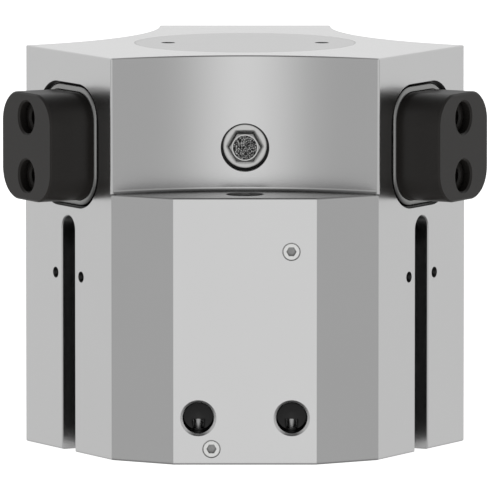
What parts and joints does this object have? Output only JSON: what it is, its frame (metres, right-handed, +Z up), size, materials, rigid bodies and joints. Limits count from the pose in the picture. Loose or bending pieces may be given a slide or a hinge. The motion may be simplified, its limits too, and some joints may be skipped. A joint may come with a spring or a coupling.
{
  "type": "three-jaw parallel gripper",
  "caption": "Sealed pneumatic gripper: a piston and wedge driver move radial jaws in and out together on an aluminium housing with supply ports, sensor slots and a vent.",
  "frame": {"origin": "on the axis of the jaw circle, in the plane of the base face", "axes": "+Z up along the piston axis towards the cover; -Y towards the port face and the vent; jaws point along 90, 210 and 330 degrees from +X"},
  "size_m": [0.137, 0.1317, 0.1135],
  "materials": {
    "housing": "satin clear-anodised, finely blasted",
    "cover": "satin clear-anodised, turned",
    "rubber": "matt",
    "vent_metal": "nickel-plated, satin",
    "sinter": "open sintered grains",
    "bronze": "sintered, oiled",
    "steel": "zinc-plated",
    "spring_steel": "phosphated",
    "cap": "turned, clear-anodised",
    "plug_metal": "nickel-plated",
    "piston_metal": "turned",
    "guide_plastic": "filled, matt",
    "magnet": "bonded magnet, matt",
    "rod_chrome": "hard chromed, ground",
    "wedge_steel": "hardened, ground",
    "black_screw": "black oxide",
    "bush_steel": "hardened, ground",
    "jaw_black": "hardened, blackened, satin"
  },
  "bodies": {
    "housing": {"housing": "housing", "top_cover": "cover", "cover_seal": "rubber", "filter_body": "vent_metal", "filter_disc": "sinter", "guide_bush_1": "bush_steel", "guide_bush_2": "bush_steel", "guide_bush_3": "bush_steel", "jaw_wiper_1": "rubber", "jaw_wiper_2": "rubber", "jaw_wiper_3": "rubber", "rod_bush": "bronze", "rod_seal": "rubber", "seal_retainer": "steel", "bumper_top": "rubber", "bumper_bottom": "rubber", "end_cap": "cap", "end_cap_seal": "rubber", "end_cap_ring": "spring_steel", "duct_plugs": "plug_metal"},
    "piston_unit": {"piston": "piston_metal", "piston_plate": "piston_metal", "piston_seal": "rubber", "piston_guide": "guide_plastic", "piston_magnet": "magnet", "piston_nut": "steel", "piston_rod": "rod_chrome", "wedge_driver": "wedge_steel", "driver_screw": "black_screw"},
    "jaw_1": {"jaw_1": "jaw_black"},
    "jaw_2": {"jaw_2": "jaw_black"},
    "jaw_3": {"jaw_3": "jaw_black"}
  },
  "joints": [
    {"name": "piston_slide", "type": "slide", "parent": "housing", "child": "piston_unit", "axis": [0, 0, 1], "range_m": [0, 0.02]},
    {"name": "jaw_1_slide", "type": "slide", "parent": "housing", "child": "jaw_1", "axis": [0.866, 0.5, 0], "range_m": [0, 0.01]},
    {"name": "jaw_2_slide", "type": "slide", "parent": "housing", "child": "jaw_2", "axis": [-0.866, 0.5, 0], "range_m": [0, 0.01]},
    {"name": "jaw_3_slide", "type": "slide", "parent": "housing", "child": "jaw_3", "axis": [0, -1, 0], "range_m": [0, 0.01]}
  ],
  "couplings": [
    {"joint": "jaw_1_slide", "follows": "piston_slide", "ratio": 0.5},
    {"joint": "jaw_2_slide", "follows": "piston_slide", "ratio": 0.5},
    {"joint": "jaw_3_slide", "follows": "piston_slide", "ratio": 0.5}
  ]
}
